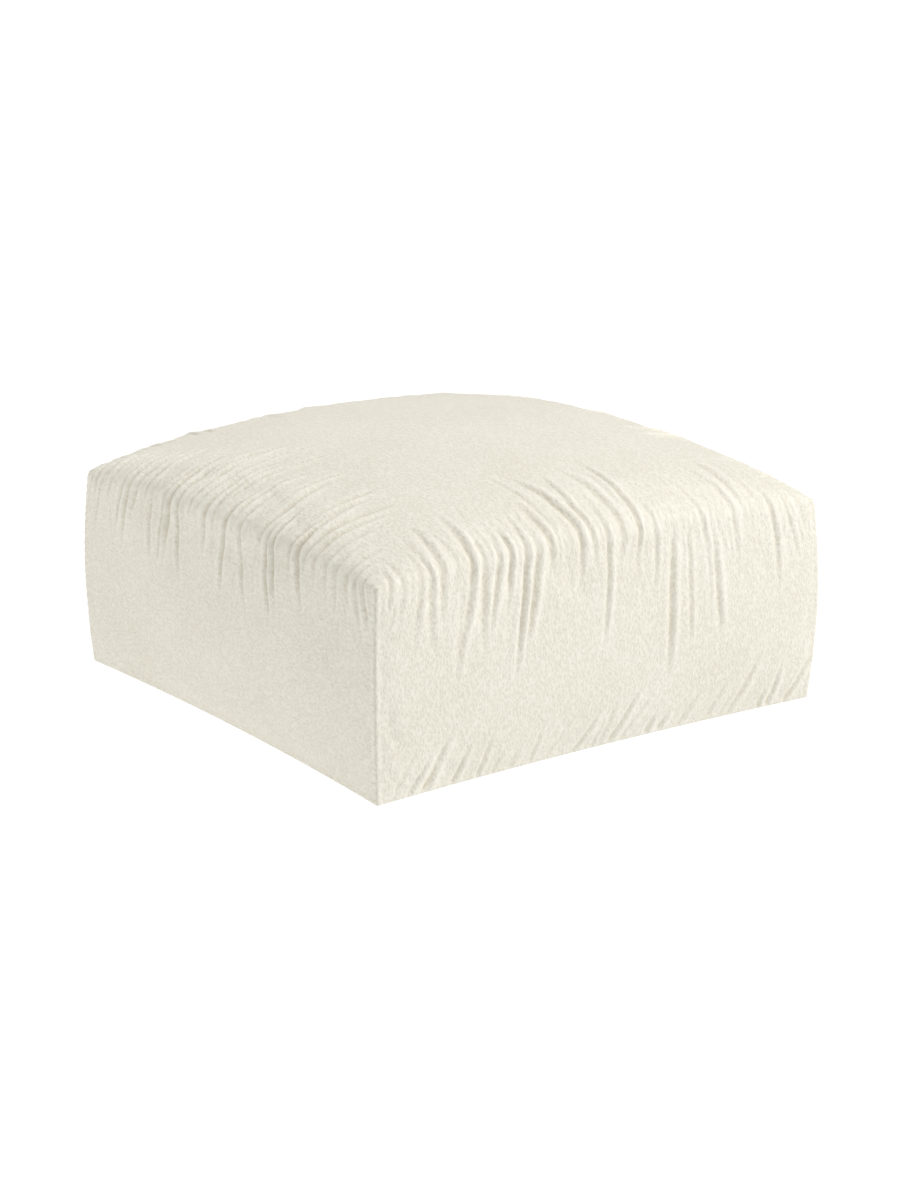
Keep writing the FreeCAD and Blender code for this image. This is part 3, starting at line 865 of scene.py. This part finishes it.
def eased(node, name, edge, turn=0.0):
    """A copy of a CAD piece with its edges rounded, and its corners about Y by a larger turn."""
    piece = keep(name, bpy.data.meshes.new(name))
    work = bmesh.new()
    work.from_mesh(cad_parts[node].data)
    bmesh.ops.remove_doubles(work, verts=work.verts, dist=0.005 * MM)
    flat_angle = math.radians(2)
    bmesh.ops.dissolve_limit(work, angle_limit=flat_angle, verts=work.verts, edges=work.edges)

    def round_over(chosen, width, segments):
        bmesh.ops.bevel(work, geom=chosen, offset=width, segments=segments, profile=0.5,
                        affect="EDGES", clamp_overlap=True)

    def sharp_edges(along_y):
        found = []
        for bent in work.edges:
            if len(bent.link_faces) == 2 and bent.calc_face_angle() > math.radians(40):
                run = (bent.verts[1].co - bent.verts[0].co).normalized()
                if not along_y or abs(run.y) > 0.99:
                    found.append(bent)
        return found

    if turn:
        round_over(sharp_edges(True), turn, 4)
    round_over(sharp_edges(False), edge, 2)
    bmesh.ops.recalc_face_normals(work, faces=work.faces)
    work.to_mesh(piece.data)
    work.free()
    piece.data.shade_smooth()
    flats = piece.modifiers.new("flats", "WEIGHTED_NORMAL")
    flats.weight = 100
    made_plain(piece)
    piece.data.materials.append(zip_metal)
    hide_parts(node)
    return piece


zip_metal = enamel()
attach(eased("zip_slider", "cast_slider", 0.22 * MM, turn=0.5 * MM), "zip_slider")
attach(eased("zip_pull", "cast_pull", 0.25 * MM, turn=0.7 * MM), "zip_pull")
for place in ("bottom", "top_upper", "top_lower"):
    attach(eased(f"zip_stop_{place}", f"clipped_stop_{place}", 0.25 * MM), "cushion")


# ---------------------------------------------------------------- topstitching
# One row of ivory thread holds down the folded hem all round the zip.

STITCH_IN = 3.2 * MM          # from the folded edge
STITCH_PITCH = 3.6 * MM
STITCH_LENGTH = 2.9 * MM
STITCH_THICK = 0.75 * MM
STITCH_OUT = 0.2 * MM


def stitch(tree, size):
    """One visible stitch: a short length of thread with tapered ends."""
    bead = tree.node("GeometryNodeMeshUVSphere", {}, {"Segments": 8, "Rings": 6, "Radius": 0.5})
    shape = tree.node("ShaderNodeCombineXYZ", {}, {
        "X": size["Length"], "Y": size["Thickness"], "Z": size["Thickness"]})
    return tree.node("GeometryNodeTransform", {}, {"Geometry": bead, "Scale": shape})


def thread():
    made = Finish("ivory_thread", roughness=0.6, specular=0.3)
    where, x, _, z = made.place()
    made.colours(made.noise(where, 700.0), (0.2, (0.74, 0.71, 0.62)), (0.8, (0.86, 0.835, 0.75)))
    twist = ((x + z) * (2 * math.pi / (0.6 * MM))).sine()
    made.bump(twist, 0.03 * MM, 0.3)
    return made.material


row_reach = hem_reach + STITCH_IN
row_low = hem_low - STITCH_IN
row_high = hem_high + STITCH_IN
corners = [
    (across * row_reach, corner_out(height) + STITCH_OUT, height)
    for across, height in ((-1, row_low), (1, row_low), (1, row_high), (-1, row_high))]
stitches = row_along(
    "zip_topstitching", corners, True, stitch, thread(),
    Pitch=STITCH_PITCH, Length=STITCH_LENGTH, Thickness=STITCH_THICK)
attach(stitches, "cushion")


# ---------------------------------------------------------------- base cloth
# A square of plain-woven ecru polyester with small rubbery grip dots closes the underside. It is
# sewn to the foot of the cover all round, and is drawn in a little between the corners on three
# sides.

BASE_CELLS = 60
GRIP_PITCH = 6 * MM
base_thick = base_high.z - base_low.z


def grip_cloth():
    """A plain weave with a lattice of soft rubber dots printed on it."""
    made = Finish("ecru_grip_cloth", roughness=0.9, specular=0.2)
    where, x, y, _ = made.place()
    weave = plain_weave(x, y, 1.1 * MM)
    slubs = made.noise(where, 60.0, detail=4.0)
    lattice = plain_weave(x, y, GRIP_PITCH)
    dots = made.node("ShaderNodeMapRange", {}, {"Value": lattice, "From Min": 0.80, "From Max": 0.86})
    made.colours(weave * 0.4 + slubs * 0.5 + dots * 0.6, (0.1, (0.46, 0.42, 0.34)), (1.2, (0.76, 0.73, 0.64)))
    made.roughness(dots * -0.35 + 0.9)
    made.bump(weave * 0.5 + slubs * 0.3 + dots * 1.6, 0.3 * MM, 0.8)
    return made.material


def base_point(across, back):
    """A point of the base cloth's flat underside, across and back from -1 to 1."""
    reach = half_width - BASE_EDGE
    foot = 0 if back > 0 else BASE_TUCK * back * back
    return (
        across * (reach - BASE_TUCK * across * across * (1 - back * back)),
        back * reach + foot * (1 - across * across),
        0.0,
    )


base_mesh = bpy.data.meshes.new("base_cloth")
ends = np.linspace(-1, 1, BASE_CELLS + 1)
across_row = BASE_CELLS + 1
base_mesh.from_pydata(
    [base_point(x, y) for x in ends for y in ends], [],
    [(i * across_row + j, i * across_row + j + 1, (i + 1) * across_row + j + 1, (i + 1) * across_row + j)
     for i in range(BASE_CELLS) for j in range(BASE_CELLS)])
base_mesh.materials.append(grip_cloth())
base_cloth = keep("base_cloth", base_mesh)
wall = base_cloth.modifiers.new("thickness", "SOLIDIFY")
wall.thickness = base_thick
wall.offset = -1
made_plain(base_cloth)
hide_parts("base_panel")
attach(base_cloth, "cushion")
